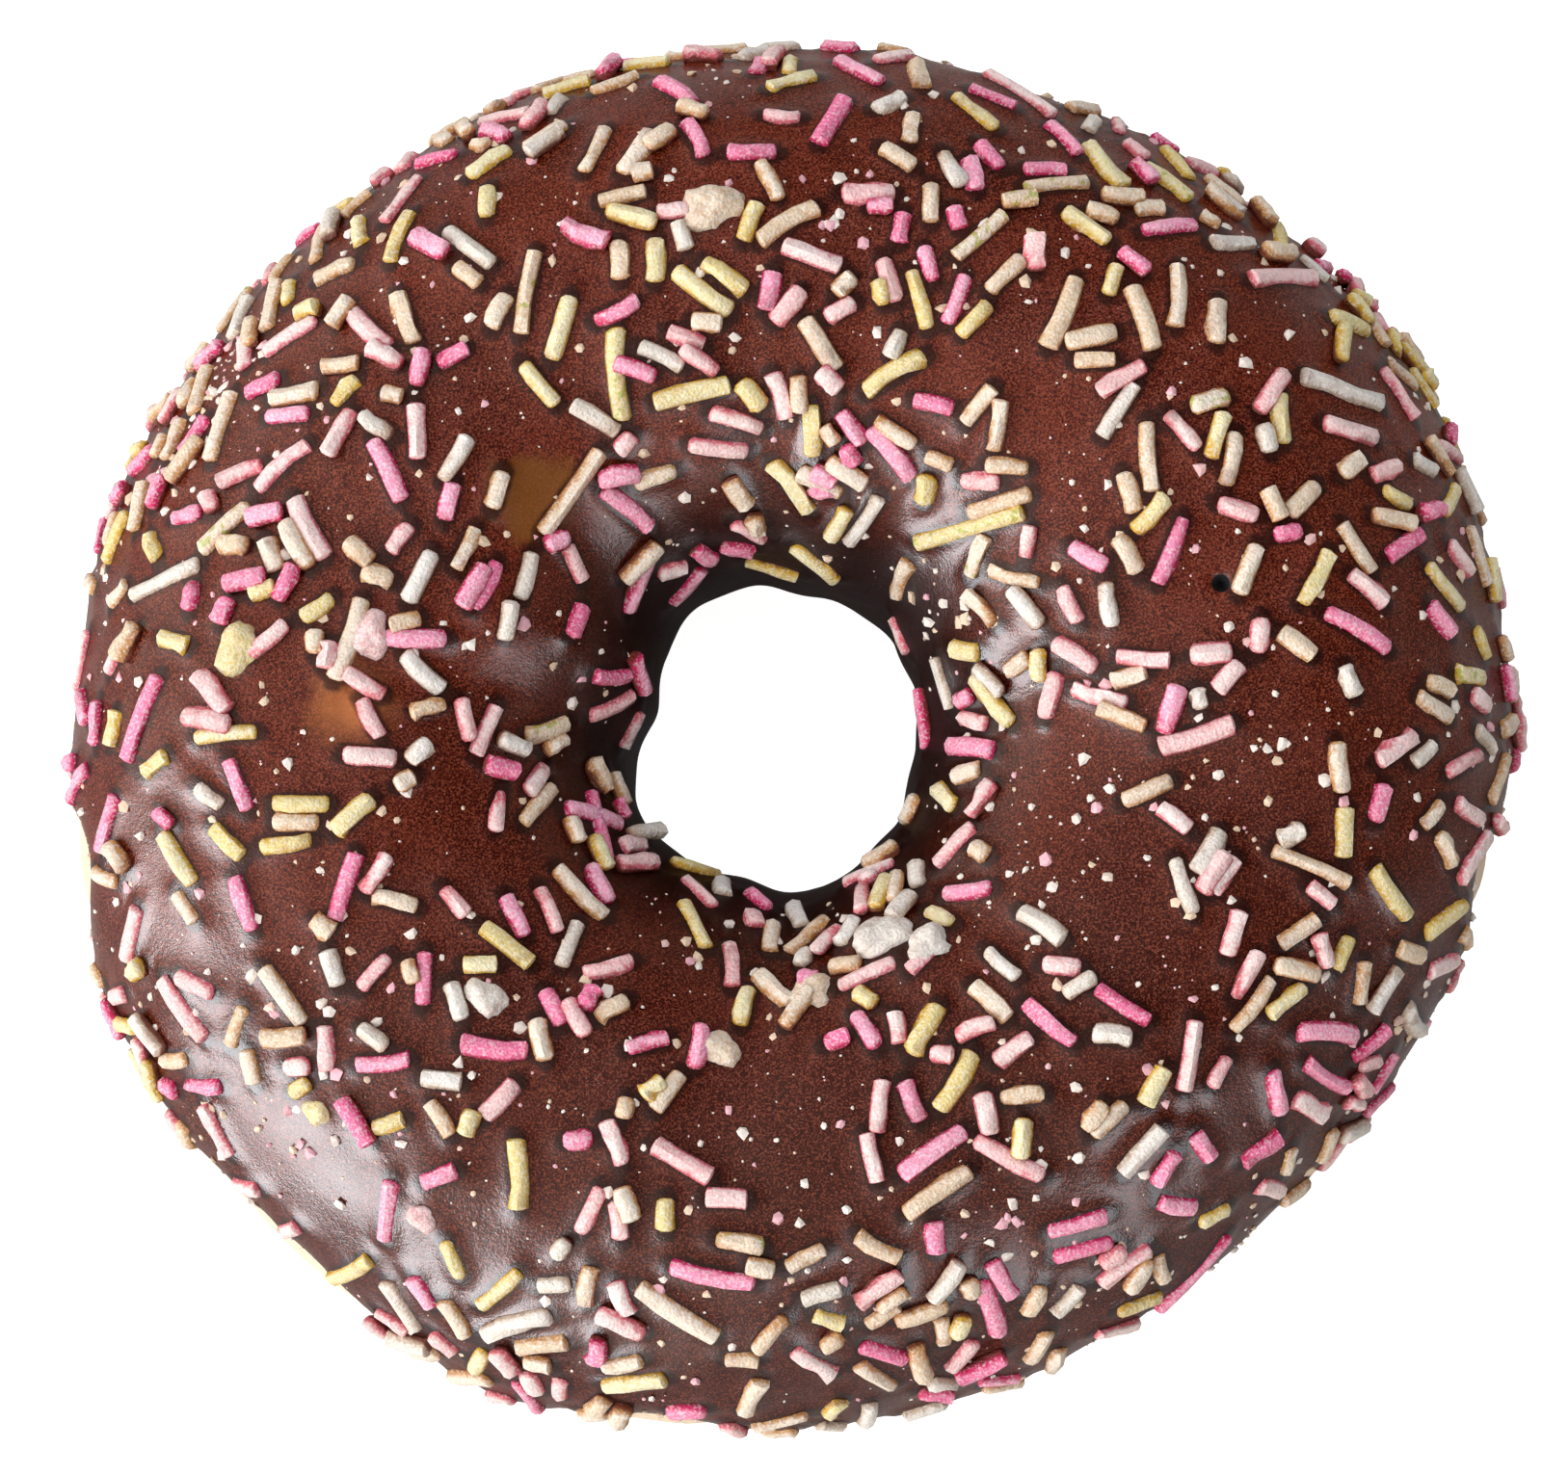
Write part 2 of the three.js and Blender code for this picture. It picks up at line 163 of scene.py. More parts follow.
# Clumps of heaped sprinkles: turn and tilt.
CLUMPS = [
    (2, 14), (6, 125), (20, 32), (34, 14), (48, 25), (55, 45), (77, 125), (120, 32), (142, 44),
    (150, 33), (157, 36), (162, 68), (166, 90), (203, 149), (211, 31), (225, 137), (246, 30),
    (255, 40), (273, 132), (285, 52), (296, 36), (301, 138), (319, 95), (330, 38),
]
ROD_SIDES = 8
# Girth of a sprinkle from end to end, in shares of its radius.
ROD_GIRTHS = np.array([0, 0.62, 0.96, 1, 1, 0.96, 0.62, 0])
CRUMBLY_SHARE = 0.2
GREEN_FLECKED = [(44, 125), (114, 104)]  # the yellow sprinkles flecked with green: turn and tilt
FLECKED_SHARE = 0.02  # of the others
LUMP_STRETCH = np.array([1.15, 0.9, LUMP_FLATNESS])  # along, across and upright

# ---- The fine surface of the dough and the icing ----
DOUGH_TURNS, DOUGH_ROWS = 430, 210
WRINKLE_HEIGHT = 0.07
CREASE_DEPTH = 0.06
ICING_TURNS, ICING_OUTSIDE_ROWS, ICING_INSIDE_ROWS = 540, 158, 22
ICING_ROOT = 0.5  # the icing's hidden underside lies this far inside the dough
ICING_SWELL = 0.035
ICING_GRAIN = 0.006
MENISCUS_HEIGHT = 0.2  # the icing climbs this far up each sprinkle
MENISCUS_REACH = 0.35
MENISCUS_START = 0.62  # from a sprinkle's centre line
LUMP_MENISCUS_HEIGHT = 0.25
LUMP_MENISCUS_REACH = 0.75  # of the lump's width
SHADED_SIDE = 285  # towards this turn the icing is painted darker: painted shade, as if less light reached that side
# Marks in the icing: turn and tilt.
MARKS = {
    "pinhole": (16, 87), "pit": (195, 136), "dimple": (303, 82),
    "small thin spot": (179, 95), "large thin spot": (138, 114),
}
PINHOLE_WIDTH, PINHOLE_DEPTH = 0.5, 0.8
PIT_WIDTH, PIT_DEPTH = 1.1, 0.75
DIMPLE_WIDTH, DIMPLE_DEPTH = 0.6, 0.2

# ---- Crumbs of sugar ----
CRUMB_SEED = 977
CRUMB_COUNT = 3600
CRUMB_TILTS = (12, 150)
LAST_CRUMB_TILT = 160  # for those of the drifts
CRUMB_SMALLEST, CRUMB_RANGE = 0.05, 0.29
CRUMB_LIFT = 0.3  # of its size, over the icing
MARK_ROOM = 1.5  # the marks in the icing stay free of crumbs this far round
CRUMB_FLATNESS = 0.35  # the share of its height that a crumb loses
# Drifts of crumbs: turn, tilt, spread in degrees and count.
CRUMB_DRIFTS = [
    (30, 140, 12, 45), (70, 80, 10, 50), (100, 115, 9, 25), (151, 42, 5, 150), (222, 66, 9, 30),
    (290, 68, 11, 50), (322, 112, 9, 50), (345, 138, 10, 40), (345, 112, 9, 30),
]


# ---------------------------------------------------------------- forms

def cos_deg(angle):
    return np.cos(np.radians(angle))


def sin_deg(angle):
    return np.sin(np.radians(angle))


def waves_at(waves, turn):
    """The sum of swell * cos(lobes * (turn - peak)) over the waves."""
    return sum(swell * cos_deg(lobes * (turn - peak)) for lobes, swell, peak in waves)


def edge_climb(turn):
    """How far the icing's outer edge has climbed: a bell of its width at each short place."""
    away = [((turn - place + 540) % 360 - 180) / width for place, width, rise in SHORT_PLACES]
    return sum(rise * np.exp(-a**2) for a, (_, _, rise) in zip(away, SHORT_PLACES))


def dough_surface(turn, tilt, lift=0.0):
    """A torus with a superellipse section |x/a|^n + |z/b|^n = 1 whose half width a and half height
    b change along the ring, moved outwards by lift and the dents along the section's normal, and
    cut off flat at the table."""
    outer = DOUGH_ACROSS / 2 + waves_at(OUTER_WAVES, turn) + BARE_SWELL * edge_climb(turn)
    hole = HOLE_ACROSS / 2 + waves_at(HOLE_WAVES, turn)
    half_width = (outer - hole) / 2
    c, s = cos_deg(tilt), sin_deg(tilt)
    half_height = np.where(s > 0, CROWN_RISE + waves_at(CROWN_WAVES, turn), BASE_DROP)
    swell = (np.abs(c) ** SQUARENESS + np.abs(s) ** SQUARENESS) ** (-1 / SQUARENESS)
    normal_x = np.sign(c) * np.abs(c) ** (SQUARENESS - 1) / half_width
    normal_z = np.sign(s) * np.abs(s) ** (SQUARENESS - 1) / half_height
    steepness = np.hypot(normal_x, normal_z)
    dents = sum(
        depth * cos_deg(around * turn + across * tilt + phase)
        for depth, around, across, phase in DENTS
    )
    out = (lift + dents) / steepness
    radius = (outer + hole) / 2 + half_width * swell * c + normal_x * out
    height = WAIST_HEIGHT + half_height * swell * s + normal_z * out
    return np.stack(
        [radius * cos_deg(turn), radius * sin_deg(turn), np.maximum(height, 0)], axis=-1
    )


def outer_edge_tilt(turn):
    """The tilt of the icing's outer edge: level, rippled, and climbing at the short places."""
    return OUTER_EDGE_TILT + waves_at(EDGE_RIPPLES, turn) + edge_climb(turn)


def icing_thickness(across):
    """Thickness at a share of the way across: parabolic from the crown to both sides, with a bead
    along the outer edge and a quarter-round lip at each edge."""
    from_crown = np.minimum(np.abs(2 * across - 1), 1)
    side = np.where(across < 0.5, ICING_RIM, ICING_HOLE)
    body = ICING_CROWN + (side - ICING_CROWN) * from_crown**2
    bead = ICING_BEAD * np.exp(-(((across - BEAD_AT) / BEAD_WIDTH) ** 2))
    to_edge = np.clip(np.minimum(across, 1 - across) / LIP, 0, 1)
    return (body + bead) * np.sqrt(1 - (1 - to_edge) ** 2)


def icing_surface(turn, tilt):
    """The dough's surface lifted by the gap and the icing's thickness."""
    edge = outer_edge_tilt(turn)
    across = (tilt - edge) / (HOLE_EDGE_TILT - edge)
    return dough_surface(turn, tilt, ICING_GAP + icing_thickness(across))


def unit(vectors):
    return vectors / np.linalg.norm(vectors, axis=-1, keepdims=True)


def icing_normal(turn, tilt):
    """The cross product of the steps round the ring and over its section."""
    nudge = 0.4
    around = icing_surface(turn + nudge, tilt) - icing_surface(turn - nudge, tilt)
    over = icing_surface(turn, tilt + nudge) - icing_surface(turn, tilt - nudge)
    return unit(np.cross(around, over))


def ripples(points, seed, shortest, longest, count=24):
    """Smooth unevenness from about -1 to 1: the mean of plane sine waves with random directions,
    phases and wavelengths, scaled up by the root of their number."""
    draw = np.random.default_rng(seed)
    directions = unit(draw.normal(size=(count, 3)))
    lengths = draw.uniform(shortest, longest, count)
    phases = draw.uniform(0, 2 * np.pi, count)
    total = np.zeros(points.shape[:-1])
    for direction, length, phase in zip(directions, lengths, phases):
        total += np.sin(points @ direction * (2 * np.pi / length) + phase)
    return total / math.sqrt(count)


# ---------------------------------------------------------------- the scatter of sprinkles

def random_from(seed):
    """Seeded random numbers from 0 to 1 (the mulberry32 generator, as in the CAD model)."""
    bits = 0xFFFFFFFF
    state = seed
    while True:
        state = (state + 0x6D2B79F5) & bits
        mixed = ((state ^ (state >> 15)) * (1 | state)) & bits
        mixed = ((mixed + (((mixed ^ (mixed >> 7)) * (61 | mixed)) & bits)) & bits) ^ mixed
        yield (mixed ^ (mixed >> 14)) / 2**32


def rest_on_icing(turn, tilt, heading, length):
    """The middle, direction, normal and reach in tilt of a straight sprinkle that lies on the icing.
    It bridges a hollow, and its middle sinks into a bulge."""
    nudge = 0.5
    at, ahead, above = icing_surface(
        np.array([turn, turn + nudge, turn]), np.array([tilt, tilt, tilt + nudge])
    )
    around, over = ahead - at, above - at
    turn_reach = nudge * length * cos_deg(heading) / 2 / np.linalg.norm(around)
    tilt_reach = nudge * length * sin_deg(heading) / 2 / np.linalg.norm(over)
    normal = unit(np.cross(around, over))
    around = unit(around)
    over = np.cross(normal, around)
    direction = around * cos_deg(heading) + over * sin_deg(heading)
    ends = icing_surface(
        turn + turn_reach * np.array([1, -1]), tilt + tilt_reach * np.array([1, -1])
    )
    hollow = (ends.mean(axis=0) - at) @ normal
    lift = SPRINKLE_ACROSS * (0.5 - SUNK) + (hollow if hollow > 0 else hollow / 2)
    return at + normal * lift, direction, normal, abs(tilt_reach)


def spot_on_icing(turn, tilt):
    """Where the middle of a sprinkle without length would lie."""
    return rest_on_icing(turn, tilt, 0, 1e-6)[0]


def line_points(middle, direction, length):
    """Points spread evenly along a sprinkle's centre line."""
    return middle + np.linspace(-0.5, 0.5, POINTS_A_LINE)[:, None] * length * direction


def scatter_sprinkles():
    """The named long sprinkles, then others from the longest down, each thrown at random until it
    lies clear of all before it: the middle, direction, normal, length and colour of each."""
    placed, taken, rooms = [], [], []

    def keep(middle, direction, normal, length, colour):
        placed.append((middle, direction, normal, length, colour))
        taken.extend(line_points(middle, direction, length))
        rooms.extend([CLEARANCE] * POINTS_A_LINE)

    for colour, places in LONG_SPRINKLES.items():
        for turn, tilt, heading, length in places:
            middle, direction, normal, _ = rest_on_icing(turn, tilt, heading, length)
            keep(middle, direction, normal, length, colour)
    for turn, tilt, size, *_ in SUGAR_LUMPS + BARE_PATCHES:
        taken.append(spot_on_icing(turn, tilt))
        rooms.append(size)

    colour_draw = np.random.default_rng(COLOUR_SEED)
    named = len(placed)
    for rank in range(named, LOOSE_COUNT):
        if rank == SOLID_COUNT:
            taken.extend(spot_on_icing(turn, tilt) for turn, tilt, _ in SHORT_BARE_PATCHES)
            rooms.extend(CLEARANCE / SHORT_CLEARANCE * room for *_, room in SHORT_BARE_PATCHES)
        random = random_from(SPRINKLE_SEED + rank)
        length = LONGEST - (LONGEST - SHORTEST) * (rank / SCATTER_COUNT) ** LENGTH_BIAS
        colour = str(colour_draw.choice(list(COLOUR_SHARES), p=list(COLOUR_SHARES.values())))
        closeness = 1 if rank < SOLID_COUNT else SHORT_CLEARANCE / CLEARANCE
        for _ in range(TRIES):
            turn = 360 * next(random)
            low = float(outer_edge_tilt(turn)) + EDGE_MARGIN
            tilt = low + (HOLE_LIMIT - low) * next(random)
            heading = 360 * next(random)
            thinning = next(random)
            middle, direction, normal, reach = rest_on_icing(turn, tilt, heading, length)
            if thinning > math.hypot(middle[0], middle[1]) / (DOUGH_ACROSS / 2):
                continue
            if tilt - reach < low or tilt + reach > HOLE_LIMIT:
                continue
            points = line_points(middle, direction, length)
            gaps = np.linalg.norm(points[:, None] - np.array(taken)[None], axis=-1)
            if (gaps < closeness * np.array(rooms)).any():
                continue
            keep(middle, direction, normal, length, colour)
            break
    return placed


def heap_sprinkles(placed):
    """Short pieces, most of them at the clumps, each thrown at random until it touches another. It
    rides up on that one by what the two would overlap, with one end higher."""
    draw = np.random.default_rng(HEAP_SEED)
    taken = np.concatenate([
        line_points(middle, direction, length) for middle, direction, _, length, _ in placed
    ])
    patches = BARE_PATCHES + SHORT_BARE_PATCHES
    bare = np.array([spot_on_icing(turn, tilt) for turn, tilt, _ in patches])
    rooms = np.array([radius for *_, radius in patches])
    nearest, farthest = TOUCHING_GAPS
    heaped = []
    for _ in range(HEAP_COUNT):
        length = draw.uniform(*HEAP_LENGTHS)
        colour = str(draw.choice(list(COLOUR_SHARES), p=list(COLOUR_SHARES.values())))
        for _ in range(TRIES):
            turn, tilt = draw.uniform(0, 360), draw.normal(HEAP_TILT, HEAP_TILT_SPREAD)
            if draw.random() < CLUMP_SHARE:
                turn, tilt = CLUMPS[draw.integers(len(CLUMPS))] + draw.normal(0, CLUMP_SPREAD)
            low = outer_edge_tilt(turn) + HEAP_MARGIN
            tilt = float(np.clip(tilt, low, HOLE_LIMIT - HEAP_MARGIN))
            middle, direction, normal, _ = rest_on_icing(turn, tilt, draw.uniform(0, 360), length)
            points = line_points(middle, direction, length)
            gap = np.linalg.norm(points[:, None] - taken[None], axis=-1).min()
            clear = (np.linalg.norm(bare - middle, axis=-1) > rooms).all()
            if nearest < gap < farthest and clear:
                middle = middle + HEAP_RIDE * normal * (farthest - gap)
                direction = unit(direction + normal * draw.normal(0, HEAP_TIP))
                heaped.append((middle, direction, normal, length, colour))
                taken = np.concatenate([taken, points])
                break
    return heaped


# ---------------------------------------------------------------- meshes

def add_piece(name, points, faces, material, attributes=None, smooth=True):
    """A mesh object at the origin from points in millimetres and faces with equally many corners."""
    mesh = bpy.data.meshes.new(name)
    corners = faces.shape[1]
    mesh.vertices.add(len(points))
    mesh.vertices.foreach_set("co", (points * MM).astype(np.float32).ravel())
    mesh.loops.add(faces.size)
    mesh.loops.foreach_set("vertex_index", faces.astype(np.int32).ravel())
    mesh.polygons.add(len(faces))
    mesh.polygons.foreach_set("loop_start", np.arange(0, faces.size, corners, dtype=np.int32))
    mesh.polygons.foreach_set("use_smooth", np.full(len(faces), smooth))
    mesh.update(calc_edges=True)
    for key, values in (attributes or {}).items():
        layer = mesh.attributes.new(key, "FLOAT", "POINT")
        layer.data.foreach_set("value", np.asarray(values, dtype=np.float32).ravel())
    mesh.materials.append(material)
    piece = bpy.data.objects.new(name, mesh)
    bpy.context.collection.objects.link(piece)
    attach(piece, "root")
    return piece


def ring_faces(turns, rows):
    """Quads of a grid that closes on itself both round the ring and round the section."""
    i, j = np.meshgrid(np.arange(turns), np.arange(rows), indexing="ij")
    ahead, above = (i + 1) % turns, (j + 1) % rows
    return np.stack(
        [i * rows + j, ahead * rows + j, ahead * rows + above, i * rows + above], axis=-1
    ).reshape(-1, 4)


def distance_to_sprinkles(points):
    """The distance from each point to the nearest sprinkle's centre line."""
    nearest = np.full(len(points), 1e3)
    for middle, direction, length in zip(middles, directions, lengths):
        off = points - middle
        along = np.clip(off @ direction, -length / 2, length / 2)
        nearest = np.minimum(nearest, ((off - along[:, None] * direction) ** 2).sum(axis=-1))
    return np.sqrt(nearest)


def bell(points, turn, tilt, width):
    """exp(-(distance / width)^2) from a place on the icing."""
    centre = icing_surface(np.array(float(turn)), np.array(float(tilt)))
    return np.exp(-((np.linalg.norm(points - centre, axis=-1) / width) ** 2))


def make_dough():
    """The dough's surface on a fine grid, moved out by its wrinkles and in by its creases, which
    both fade on the flat underside."""
    turn, tilt = np.meshgrid(
        360 * np.arange(DOUGH_TURNS) / DOUGH_TURNS,
        360 * np.arange(DOUGH_ROWS) / DOUGH_ROWS,
        indexing="ij",
    )
    bare = dough_surface(turn, tilt)
    pressed = np.clip(bare[..., 2] / 2, 0, 1)
    wrinkles = WRINKLE_HEIGHT * ripples(bare, 3, 3.5, 9)
    creases = CREASE_DEPTH * np.abs(ripples(bare, 4, 2.2, 5))
    points = dough_surface(turn, tilt, (wrinkles - creases) * pressed)
    return add_piece(
        "dough_skin", points.reshape(-1, 3), ring_faces(DOUGH_TURNS, DOUGH_ROWS), fried_dough()
    )


def make_icing():
    """The icing's outer skin from the outer edge over the crown to the hole, closed by a hidden
    skin inside the dough. It climbs up each sprinkle and lump, and has a torn pit, a pinhole and a
    dimple."""
    rows = ICING_OUTSIDE_ROWS + ICING_INSIDE_ROWS
    share = np.arange(rows) / ICING_OUTSIDE_ROWS
    crowding = 0.25  # of the rows towards both edges
    eased = share - crowding * np.sin(2 * np.pi * share) / (2 * np.pi)
    back = (rows - np.arange(rows)) / ICING_INSIDE_ROWS
    across = np.where(share <= 1, eased, np.minimum(back, 1))
    turn = 360 * np.arange(ICING_TURNS) / ICING_TURNS
    edge = outer_edge_tilt(turn)[:, None] + 0 * across
    turn = turn[:, None] + 0 * across
    tilt = edge + (HOLE_EDGE_TILT - edge) * across
    outside = (share > 0) & (share < 1)
    lift = np.where(outside, ICING_GAP + icing_thickness(np.clip(across, 0, 1)), -ICING_ROOT)
    flat = dough_surface(turn, tilt, lift).reshape(-1, 3)
    showing = np.tile(outside, ICING_TURNS).astype(float)

    beyond = np.maximum(distance_to_sprinkles(flat) - MENISCUS_START, 0)
    near = np.exp(-beyond / MENISCUS_REACH) * showing
    lumps = showing * sum(
        bell(flat, *place, LUMP_MENISCUS_REACH * width) for *place, width, _ in SUGAR_LUMPS
    )
    torn = flat + 0.35 * ripples(flat, 8, 0.9, 2)[:, None]
    pit = bell(torn, *MARKS["pit"], PIT_WIDTH) * showing
    pinhole = bell(flat, *MARKS["pinhole"], PINHOLE_WIDTH) * showing
    dimple = bell(flat, *MARKS["dimple"], DIMPLE_WIDTH) * showing
    relief = (
        MENISCUS_HEIGHT * near
        + LUMP_MENISCUS_HEIGHT * lumps
        + ICING_SWELL * showing * ripples(flat, 5, 3, 9)
        + ICING_GRAIN * showing * ripples(flat, 6, 0.9, 2)
        - PIT_DEPTH * pit
        - PINHOLE_DEPTH * pinhole
        - DIMPLE_DEPTH * dimple
    )
    points = dough_surface(turn, tilt, lift + relief.reshape(turn.shape)).reshape(-1, 3)
    return add_piece(
        "icing_skin",
        points,
        ring_faces(ICING_TURNS, rows),
        satin_chocolate(),
        {"near": np.maximum(near, lumps), "pit": pit, "tilt": tilt},
    )


def make_sprinkles(colour):
    """Rods of one colour. Each is a stack of uneven octagons along a gently bent line, drawn in
    towards both ends, with a point at each end:
    point = middle + direction * s + side * (r cos a + bend) + normal * r sin a."""
    chosen = colours == colour
    middle, along, normal = (rows[chosen][:, None] for rows in (middles, directions, normals))
    size = lengths[chosen][:, None]
    count = len(size)
    draw = np.random.default_rng(COLOUR_SEED + 1 + list(COLOUR_SHARES).index(colour))
    radius = SPRINKLE_ACROSS / 2 * draw.uniform(0.8, 1.05, (count, 1))
    end = radius * draw.uniform(0.25, 0.8, (count, 1))
    half = size / 2
    to_middle = np.concatenate([half, half - 0.12 * end, half - 0.6 * end, half / 3], axis=1)
    stations = np.concatenate([-to_middle, to_middle[:, ::-1]], axis=1)
    girth = radius * ROD_GIRTHS
    girth = girth * draw.uniform(0.95, 1.05, girth.shape)
    angle = 2 * np.pi * np.arange(ROD_SIDES) / ROD_SIDES
    crumbliness = 0.055 + 0.07 * (draw.random((count, 1, 1)) < CRUMBLY_SHARE)
    rough = 1 + crumbliness * draw.normal(size=(count, len(ROD_GIRTHS), ROD_SIDES))
    ring = girth[:, :, None] * rough
    bend = draw.normal(0, 0.03, (count, 1)) * size * (1 - (stations / half) ** 2)
    points = (
        middle[:, None]
        + along[:, None] * stations[:, :, None, None]
        + np.cross(normal, along)[:, None] * (ring * np.cos(angle) + bend[:, :, None])[..., None]
        + normal[:, None] * (ring * np.sin(angle))[..., None]
    )
    tips = points[:, [0, -1]].mean(axis=2)
    points = np.concatenate([points[:, 1:-1].reshape(count, -1, 3), tips], axis=1)
    above_middle = ((points - middle) * normal).sum(axis=-1)
    share = ((points - middle) * along).sum(axis=-1) / size
    rise = above_middle + SPRINKLE_ACROSS * (0.5 - SUNK)
    tone = draw.uniform(0, 1, (count, 1)) + 0 * rise
    stain = np.clip(draw.normal(-0.5, 0.5, (count, 1)) + 1.2 * share, 0, 1)
    flecked = draw.random((count, 1)) < FLECKED_SHARE
    for turn, tilt in GREEN_FLECKED:
        place = icing_surface(np.array(float(turn)), np.array(float(tilt)))
        flecked |= np.linalg.norm(middle - place, axis=-1) < 1
    piece = add_piece(
        f"sprinkles_{colour}",
        points.reshape(-1, 3),
        rod_faces(count, len(ROD_GIRTHS) - 2, ROD_SIDES),
        sugar(colour),
        {"rise": rise, "tone": tone, "stain": stain, "flecked": flecked + 0 * rise},
    )
    piece.data.set_sharp_from_angle(angle=math.radians(50))
    return piece


def rod_faces(count, rings, sides):
    """Triangles of closed rods: bands between their rings, and a fan to the point at each end."""
    i, j = np.meshgrid(np.arange(rings - 1), np.arange(sides), indexing="ij")
    turned = (j + 1) % sides
    a, b, c, d = i * sides + j, i * sides + turned, (i + 1) * sides + turned, (i + 1) * sides + j
    bands = np.concatenate([np.stack([a, b, c], -1), np.stack([a, c, d], -1)]).reshape(-1, 3)
    j = np.arange(sides)
    turned = (j + 1) % sides
    last = (rings - 1) * sides
    first_tip, last_tip = rings * sides + 0 * j, rings * sides + 1 + 0 * j
    fans = np.concatenate(
        [np.stack([first_tip, turned, j], -1), np.stack([last_tip, last + j, last + turned], -1)]
    )
    one = np.concatenate([bands, fans])
    starts = (rings * sides + 2) * np.arange(count)
    return (one[None] + starts[:, None, None]).reshape(-1, 3)


def make_lumps(colour):
    """Rough lumps: spheres of rings and points whose radius ripples, flattened onto the icing."""
    places = [place for *place, sugar_colour in SUGAR_LUMPS if sugar_colour == colour]
    rings, sides = 13, 22
    level = np.pi * (np.arange(rings) + 1) / (rings + 1)
    angle = 2 * np.pi * np.arange(sides) / sides
    ball = np.stack(
        [
            np.sin(level)[:, None] * np.cos(angle),
            np.sin(level)[:, None] * np.sin(angle),
            -np.cos(level)[:, None] + 0 * angle,
        ],
        axis=-1,
    ).reshape(-1, 3)
    ball = np.concatenate([ball, [[0, 0, -1], [0, 0, 1]]])
    parts = []
    for seed, (turn, tilt, width) in enumerate(places):
        middle, direction, normal, _ = rest_on_icing(turn, tilt, 0, width)
        side = np.cross(normal, direction)
        bumps = 1 + 0.14 * ripples(ball, 60 + seed, 0.9, 1.9) + 0.05 * ripples(ball, 80, 0.2, 0.5)
        shape = ball * bumps[:, None] * width / 2 * LUMP_STRETCH
        parts.append(middle + shape @ np.array([direction, side, normal]))
    points = np.concatenate(parts)
    flat = np.zeros(len(points))
    return add_piece(
        f"sugar_lumps_{colour}",
        points,
        rod_faces(len(places), rings, sides),
        sugar(colour),
        {"rise": flat + 0.6, "tone": flat + 0.5, "stain": flat + 0.3},
    )


def icosahedron():
    """Twelve corners, (0, +-1, +-golden) with its numbers moved round, and the triangles of all
    three corners that lie an edge, 2, apart. The triangles face outwards."""
    golden = (1 + math.sqrt(5)) / 2
    upright = np.array([(0, 1, golden), (0, 1, -golden), (0, -1, golden), (0, -1, -golden)])
    corners = np.concatenate([upright, upright[:, [1, 2, 0]], upright[:, [2, 0, 1]]])
    triples = np.array(list(itertools.combinations(range(12), 3)))
    a, b, c = corners[triples].swapaxes(0, 1)
    edges = np.linalg.norm(np.stack([a - b, b - c, c - a]), axis=-1)
    joined = np.isclose(edges, 2).all(axis=0)
    inward = (np.cross(b - a, c - a) * a).sum(axis=-1) < 0
    return corners, np.where(inward[:, None], triples[:, ::-1], triples)[joined]


def make_crumbs():
    """Twenty-sided chips of sugar, turned every way and pressed flat, with uneven corners:
    corner = centre + basis * (corner of an icosahedron * its own random reach). There are fewer
    towards the hole."""
    draw = np.random.default_rng(CRUMB_SEED)
    turn = [draw.uniform(0, 360, CRUMB_COUNT)]
    tilt = [draw.uniform(*CRUMB_TILTS, CRUMB_COUNT)]
    for drift_turn, drift_tilt, spread, drift_count in CRUMB_DRIFTS:
        turn.append(drift_turn + draw.normal(0, spread, drift_count))
        tilt.append(drift_tilt + draw.normal(0, spread, drift_count))
    turn = np.concatenate(turn)
    tilt = np.clip(np.concatenate(tilt), outer_edge_tilt(turn) + EDGE_MARGIN, LAST_CRUMB_TILT)
    place = icing_surface(turn, tilt)
    marks = sum(bell(place, *mark, MARK_ROOM) for mark in MARKS.values())
    from_axis = np.hypot(place[:, 0], place[:, 1]) / (DOUGH_ACROSS / 2)
    kept = (marks < 0.5) & (draw.random(len(turn)) < from_axis**0.8)
    fineness = np.where(np.arange(len(turn)) < CRUMB_COUNT, 4.2, 2)[kept]
    turn, tilt = turn[kept], tilt[kept]
    count = len(turn)
    size = CRUMB_SMALLEST + CRUMB_RANGE * draw.random(count) ** fineness
    normal = icing_normal(turn, tilt)
    centre = icing_surface(turn, tilt) + normal * size[:, None] * CRUMB_LIFT
    corners, triangles = icosahedron()
    reach = draw.uniform(0.45, 1, (count, len(corners), 1)) * size[:, None, None]
    basis = np.linalg.qr(draw.normal(size=(count, 3, 3)))[0]
    basis[:, 2] *= np.sign(np.linalg.det(basis))[:, None]
    off = (corners * reach) @ basis
    height = (off * normal[:, None]).sum(axis=-1, keepdims=True)
    points = centre[:, None] + off - CRUMB_FLATNESS * height * normal[:, None]
    faces = triangles + len(corners) * np.arange(count)[:, None, None]
    tint = np.repeat(draw.random(count), len(corners))
    return add_piece(
        "sugar_crumbs",
        points.reshape(-1, 3),
        faces.reshape(-1, 3),
        crumb_sugar(),
        {"tint": tint},
        smooth=False,
    )


# ---------------------------------------------------------------- materials

def paint(red, green, blue):
    """An sRGB colour, 0 to 255, as the linear colour that a shader takes."""
    share = np.array([red, green, blue]) / 255
    linear = np.where(share <= 0.04045, share / 12.92, ((share + 0.055) / 1.055) ** 2.4)
    return (*map(float, linear), 1.0)


def add_node(tree, kind, inputs=None, **settings):
    """A node with its settings, and with each named input linked to a socket or set to a value."""
    made = tree.nodes.new(kind)
    for key, value in settings.items():
        setattr(made, key, value)
    for key, value in (inputs or {}).items():
        if isinstance(value, bpy.types.NodeSocket):
            tree.links.new(value, made.inputs[key])
        else:
            made.inputs[key].default_value = value
    return made


